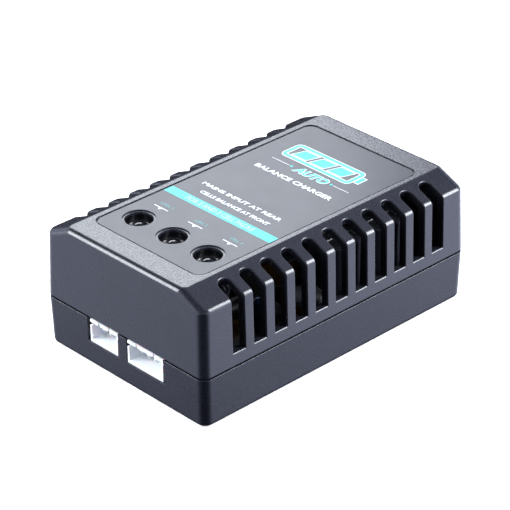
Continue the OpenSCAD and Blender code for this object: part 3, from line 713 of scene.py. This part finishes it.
# ---------------------------------------------------------------- mains inlet
# A figure-eight inlet of black nylon, let into the rear wall across the joint of the two
# halves, with two nickel-plated pins that run back to the board.
def inlet_nylon():
    nylon = Finish("inlet_nylon", (0.011, 0.011, 0.013), 0.36)
    nylon.polish((nylon.noise(1.0) - 0.5) * 0.16)
    nylon.edge_wear_and_sheen(0.3, (0.05, 0.05, 0.055), 0.05)
    nylon.relief(nylon.noise(0.35), 0.012)
    return nylon


def nickel_plate():
    nickel = Finish("nickel_plate", (0.66, 0.64, 0.6), 0.16, metallic=1.0)
    nickel.polish((nickel.noise(1.0, stretch=(1, 0.1, 1)) - 0.45) * 0.25)
    nickel.relief(nickel.noise(0.5), 0.006)
    return nickel


finished("mains_inlet_body", merged_copy("mains_inlet"), [inlet_nylon()],
         ["mains_inlet"], edge=0.25)
finished("inlet_pin_pair", merged_copy("inlet_pins"), [nickel_plate()],
         ["inlet_pins"], edge=0.08)


# ---------------------------------------------------------------- balance sockets
# Two keyed side-entry headers of natural nylon, standing on the board's front edge, with
# square tinned contacts on a 2.5 mm pitch.
def natural_nylon():
    nylon = Finish("natural_nylon", (0.93, 0.935, 0.95), 0.34, Subsurface_Weight=0.25,
                   Subsurface_Scale=0.0015)
    nylon.tint(nylon.rise(nylon.noise(2.0), 0.4, 0.7), (0.9, 0.905, 0.925))
    nylon.polish((nylon.noise(0.8) - 0.5) * 0.16)
    nylon.relief(nylon.noise(0.5, detail=2), 0.015)
    return nylon


def contact_metal():
    metal = Finish("contact_metal", (0.72, 0.71, 0.68), 0.24, metallic=1.0)
    metal.polish((metal.noise(0.5) - 0.5) * 0.2)
    metal.relief(metal.noise(0.4), 0.006)
    return metal


header, contact = natural_nylon(), contact_metal()
for ways in ("3_way", "4_way"):
    finished(f"balance_socket_{ways}_housing", merged_copy("balance_socket_" + ways), [header],
             ["balance_socket_" + ways], edge=0.1)
    finished(f"socket_contacts_{ways}_pins", merged_copy("socket_contacts_" + ways), [contact],
             ["socket_contacts_" + ways], edge=0.08)


# ---------------------------------------------------------------- cell lamps
# Three domed lamps of smoked clear epoxy, each held up by a black spacer tube so that its
# dome stands in a bowl of the crown.
def smoked_epoxy():
    epoxy = Finish("smoked_epoxy", (0.002, 0.002, 0.003), 0.07, IOR=1.5)
    epoxy.polish(epoxy.rise(epoxy.noise(1.5), 0.5, 0.8) * 0.03)
    epoxy.relief(epoxy.noise(3.0, detail=1), 0.02)
    return epoxy


lens, spacer = smoked_epoxy(), bobbin
lamp_numbers = ("1", "2", "3")
for number in lamp_numbers:
    finished(f"status_lamp_{number}_lens", merged_copy("status_lamp_" + number), [lens],
             ["status_lamp_" + number], edge=0.1)
    finished(f"lamp_spacer_{number}_tube", merged_copy("lamp_spacer_" + number), [spacer],
             ["lamp_spacer_" + number], edge=0.1)


# ---------------------------------------------------------------- upper casing
# The hood over the board: the same black ABS, coarser on its crown, with eleven slots down each
# side and a bowl in the crown for each lamp. The bowls, the slot walls and the faces inside the
# hood are painted darker as shade, and the paler specks of the crown's grain are partly painted
# sheen.
lamp_spots = [(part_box("status_lamp_" + n)[0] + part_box("status_lamp_" + n)[1]) / 2 / millimetre
              for n in lamp_numbers]
bowl_radius, bowl_foot = 3.42, 28
rim_rounding = 0.38
shoulder_from, wall_from = 20, 26.5
slot_reach, slot_end, square_across = 20.5, 41, 0.985
inside_top, inside_pull, bowl_surround = 32.6, 20, 6
crown_top = cad_box[1].z / millimetre


def on_the_skin(face):
    """True of the outer face of a side wall or its shoulder, round the slots."""
    middle = face.calc_center_median() / millimetre
    if abs(middle.x) < shoulder_from or face.normal.x * middle.x < 0.35 * abs(middle.x):
        return False
    return abs(middle.x) > wall_from or face.normal.z > 0.3


def is_slot_rim(edge):
    """True of an outer edge of a slot, where the skin turns into the slot's wall or sill."""
    skins = [face for face in edge.link_faces if on_the_skin(face)]
    inner = [face for face in edge.link_faces if not on_the_skin(face)]
    if len(skins) != 1 or len(inner) != 1:
        return False
    return skins[0].normal.dot(inner[0].normal) < 0.5 and inner[0].normal.z > -0.5


hood = merged_copy("upper_casing")
bmesh.ops.bevel(
    hood, geom=[edge for edge in hood.edges if is_slot_rim(edge)], affect="EDGES",
    offset=rim_rounding * millimetre, segments=3, profile=0.5, material=-1,
)
upper_plastic = casing_plastic("upper_casing_plastic", grain=0.014, gloss=1.52)
across, along, up = (upper_plastic.axis(letter) for letter in "XYZ")
# Inside the lamp bowls the plastic is glossier, and painted darker as shade in the recess.
in_a_bowl = (up > bowl_foot) * sum(
    ((across - spot.x) ** 2 + (along - spot.y) ** 2) < bowl_radius ** 2 for spot in lamp_spots
)
upper_plastic.polish(in_a_bowl * -0.03)
upper_plastic.tint(in_a_bowl, (0.002, 0.002, 0.003))
# The crown's grain is real relief, and its paler specks are partly a painted sheen on the top face.
on_the_crown = upper_plastic.rise(up, crown_top - 0.1, crown_top - 0.02)
crown_grain = upper_plastic.noise(0.35, detail=2)
upper_plastic.tint(on_the_crown * upper_plastic.rise(crown_grain, 0.3, 0.7), (0.06, 0.062, 0.072))
upper_plastic.relief(crown_grain * on_the_crown, 0.04)


def inside_painted_shade():
    """The same plastic, painted darker as shade and made rougher, inside the hood and in its slots.
    """
    plastic = Finish("upper_casing_inside", (0.004, 0.004, 0.006), 0.62, IOR=1.3)
    plastic.polish((plastic.noise(0.5) - 0.5) * 0.15)
    plastic.tint(plastic.rise(plastic.noise(1.5), 0.4, 0.7), (0.006, 0.006, 0.009))
    plastic.relief(plastic.noise(0.4, detail=2), 0.02)
    return plastic


def inside_or_outside(middle, normal):
    """1 for the walls of the slots and for faces that look into the hood, 0 for the rest."""
    beside_a_slot = abs(middle.x) > slot_reach and abs(middle.y) < slot_end
    slot_wall = beside_a_slot and abs(normal.y) > square_across
    outwards = Vector((middle.x, middle.y, inside_pull))
    looks_in = middle.z < inside_top and normal.dot(outwards) < 0
    by_a_lamp = any((middle - spot).xy.length < bowl_surround for spot in lamp_spots)
    return int(slot_wall or (looks_in and not by_a_lamp))


# The slot walls and the faces that look into the hood take the darker plastic, as painted shade.
finished("upper_casing_shell", hood, [upper_plastic, inside_painted_shade()], ["upper_casing"],
         edge=0.12, choose=inside_or_outside)


# ---------------------------------------------------------------- casing screws
# Four self-tapping screws with cross recesses, black zinc over steel, driven up the wells of
# the lower casing into the posts of the upper one.
def black_zinc():
    zinc = Finish("black_zinc", (0.055, 0.055, 0.06), 0.34, metallic=1.0)
    zinc.polish((zinc.noise(0.7) - 0.5) * 0.25)
    zinc.edge_wear_and_sheen(0.2, (0.35, 0.35, 0.36), 0.08)
    zinc.relief(zinc.noise(0.35), 0.01)
    return zinc


finished("casing_screw_set", merged_copy("casing_screws"), [black_zinc()], ["casing_screws"],
         edge=0.1)


# ---------------------------------------------------------------- label
# A satin film stuck in a shallow recess of the crown, cut round the three lamp bowls.
def label_film():
    film = Finish("label_film", (0.03, 0.032, 0.04), 0.3, IOR=1.36)
    film.tint(film.rise(film.noise(4), 0.4, 0.7), (0.034, 0.036, 0.045))
    film.polish((film.noise(6) - 0.5) * 0.06)
    film.polish((film.noise(0.35) - 0.5) * 0.1)
    film.relief(film.noise(0.4, detail=2), 0.006)
    return film


finished("top_label_film", merged_copy("top_label"), [label_film()], ["top_label"],
         edge=0.06)


# ---------------------------------------------------------------- label printing
# Screen-printed ink on the film, in teal and white: a band, three cell marks, a title and a
# drawing of a battery, all in plain generic words.
ink_thickness = 0.02
label_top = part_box("top_label")[1].z / millimetre


def screen_ink(name, colour):
    ink = Finish(name, colour, 0.38)
    ink.tint(ink.rise(ink.noise(0.5, detail=5), 0.52, 0.75), [shade * 0.82 for shade in colour])
    ink.polish((ink.noise(0.4) - 0.5) * 0.15)
    ink.relief(ink.noise(0.2), 0.003)
    return ink


class Stencil:
    """Flat shapes in millimetres that are printed together in one ink."""

    def __init__(self):
        self.sheet = bmesh.new()

    def lay(self, shape, *places):
        """Puts a flat shape on the sheet, after each placing matrix in turn."""
        for place in places:
            bmesh.ops.transform(shape, verts=shape.verts, matrix=place)
        flat = bpy.data.meshes.new("stencil_part")
        shape.to_mesh(flat)
        shape.free()
        self.sheet.from_mesh(flat)
        bpy.data.meshes.remove(flat)

    def bar(self, left, front, right, back, lean=0.0):
        """A rectangle; lean is how far it slants to the right for each mm towards the back."""
        plate = bmesh.new()
        bmesh.ops.create_grid(plate, x_segments=1, y_segments=1, size=0.5)
        slant = Matrix.Identity(4)
        slant[0][1] = lean
        self.lay(plate, Matrix.Diagonal((right - left, back - front, 1, 1)), slant,
                 Matrix.Translation(((left + right) / 2, (front + back) / 2, 0)))

    def disc(self, x, y, width, depth, corners=16):
        """A disc, or with three corners a triangle whose tip points to the front."""
        plate = bmesh.new()
        bmesh.ops.create_circle(plate, cap_ends=True, segments=corners, radius=0.5)
        self.lay(plate, Matrix.Rotation(math.pi, 4, "Z"),
                 Matrix.Diagonal((width, depth, 1, 1)), Matrix.Translation((x, y, 0)))

    def outline(self, left, front, right, back, line, corner):
        """A rectangular line with rounded corners."""
        plate = bmesh.new()
        bmesh.ops.create_grid(plate, x_segments=1, y_segments=1, size=0.5)
        bmesh.ops.transform(plate, verts=plate.verts,
                            matrix=Matrix.Diagonal((right - left, back - front, 1, 1)))
        bmesh.ops.bevel(plate, geom=plate.verts[:], affect="VERTICES", offset=corner,
                        segments=5, profile=0.5, material=-1)
        inside = plate.faces[:]
        bmesh.ops.inset_individual(plate, faces=inside, thickness=line)
        bmesh.ops.delete(plate, geom=inside, context="FACES")
        self.lay(plate, Matrix.Translation(((left + right) / 2, (front + back) / 2, 0)))

    def words(self, text, left, right, front, height, weight=0.03, slant=0.0):
        """A line of capitals between two edges, with its feet on front."""
        typed = bpy.data.curves.new("typed_words", "FONT")
        typed.body = text
        typed.resolution_u = 3
        typed.offset = weight
        typed.shear = slant
        setter = bpy.data.objects.new("typed_words", typed)
        scene.collection.objects.link(setter)
        flat = bpy.data.meshes.new_from_object(
            setter.evaluated_get(bpy.context.evaluated_depsgraph_get())
        )
        letters = bmesh.new()
        letters.from_mesh(flat)
        bpy.data.objects.remove(setter)
        bpy.data.curves.remove(typed)
        bpy.data.meshes.remove(flat)
        low_x, low_y = (min(point.co[n] for point in letters.verts) for n in (0, 1))
        high_x, high_y = (max(point.co[n] for point in letters.verts) for n in (0, 1))
        stretch = ((right - left) / (high_x - low_x), height / (high_y - low_y), 1, 1)
        self.lay(letters, Matrix.Translation((-low_x, -low_y, 0)), Matrix.Diagonal(stretch),
                 Matrix.Translation((left, front, 0)))

    def print_on_label(self, name, ink, layer):
        """Gives the shapes their thickness, on the film or on an earlier layer of ink."""
        sheet = self.sheet
        for face in sheet.faces:
            if face.normal.z < 0:
                face.normal_flip()
        raised = bmesh.ops.extrude_face_region(sheet, geom=sheet.faces[:], use_keep_orig=True)
        bmesh.ops.translate(
            sheet, vec=(0, 0, ink_thickness),
            verts=[part for part in raised["geom"] if isinstance(part, bmesh.types.BMVert)],
        )
        bmesh.ops.recalc_face_normals(sheet, faces=sheet.faces)
        bmesh.ops.translate(
            sheet, verts=sheet.verts, vec=(0, 0, label_top + layer * ink_thickness),
        )
        bmesh.ops.scale(sheet, verts=sheet.verts, vec=(millimetre,) * 3)
        finished(name, sheet, [ink])


film_low, film_high = (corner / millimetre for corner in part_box("top_label"))
band_front, band_back = -14.0, -11.0
teal, white, upper_teal, band_words, dim_teal = (Stencil() for _ in range(5))
teal.bar(film_low.x + 0.1, band_front, film_high.x - 0.1, band_back)
band_words.words("FOR 2 AND 3 CELL PACKS", -11.6, 11.4, band_front + 0.75, 1.6)

mark_drop, mark_span, mark_line = 6.9, 4.8, 0.26
for number, spot in zip(lamp_numbers, lamp_spots):
    mark_y = spot.y + mark_drop
    white.bar(spot.x - mark_span / 2, mark_y, spot.x + mark_span / 2, mark_y + mark_line)
    white.disc(spot.x, mark_y - 0.25, width=1.7, depth=1.2, corners=3)
    dim_teal.words("CELL " + number, spot.x - 1.9, spot.x + 2.3, mark_y + 1.45, 0.95)

for words, left, right, front, letter_height in (
    ("CELLS BALANCE AT FRONT", -11.6, 11.9, -8.6, 1.3),
    ("MAINS INPUT AT REAR", -14.4, 12.6, -5.2, 1.3),
    ("BALANCE CHARGER", -12.5, 13.5, 10.5, 1.65),
):
    white.words(words, left, right, front, letter_height)

rule_y, rule_line, dot_width = 16.6, 0.16, 0.8
for left, right in ((-12.4, -6.4), (8.8, 14)):
    white.bar(left, rule_y, right, rule_y + rule_line)
for x in (-5.6, 8.1):
    teal.disc(x, rule_y + 0.1, width=dot_width, depth=dot_width)
white.words("AUTO", -4.25, 7.05, 15.1, 3.0, weight=0.075, slant=0.25)
upper_teal.words("AUTO", -4, 6.8, 15.3, 2.6, weight=0.035, slant=0.25)

battery_left, battery_front, battery_right, battery_back = -12.4, 19.6, 10.6, 26.6
battery_line, battery_corner, halo = 0.95, 1.3, 0.28
cell_left, cell_width, cell_pitch, cell_margin, cell_lean = -9.3, 4.6, 6.1, 1.75, 0.35
for ink, grow in ((white, halo), (upper_teal, 0)):
    ink.outline(battery_left - grow, battery_front - grow, battery_right + grow,
                battery_back + grow, battery_line + 2 * grow, battery_corner + grow)
    ink.bar(battery_right + 0.5 - grow, battery_front + 2 - grow,
            battery_right + 1.7 + grow, battery_back - 2 + grow)
    for cell in range(3):
        left = cell_left + cell * cell_pitch
        ink.bar(left - grow, battery_front + cell_margin - grow,
                left + cell_width + grow, battery_back - cell_margin + grow, cell_lean)

teal_ink = screen_ink("teal_ink", (0.01, 0.42, 0.4))
white_ink = screen_ink("white_ink", (0.62, 0.66, 0.68))
pale_teal_ink = screen_ink("pale_teal_ink", (0.26, 0.56, 0.56))
dim_teal_ink = screen_ink("dim_teal_ink", (0.04, 0.19, 0.19))
teal.print_on_label("label_printing_teal", teal_ink, layer=0)
dim_teal.print_on_label("label_printing_cell_words", dim_teal_ink, layer=0)
white.print_on_label("label_printing_white", white_ink, layer=0)
upper_teal.print_on_label("label_printing_upper_teal", teal_ink, layer=1)
band_words.print_on_label("label_printing_band_words", pale_teal_ink, layer=1)
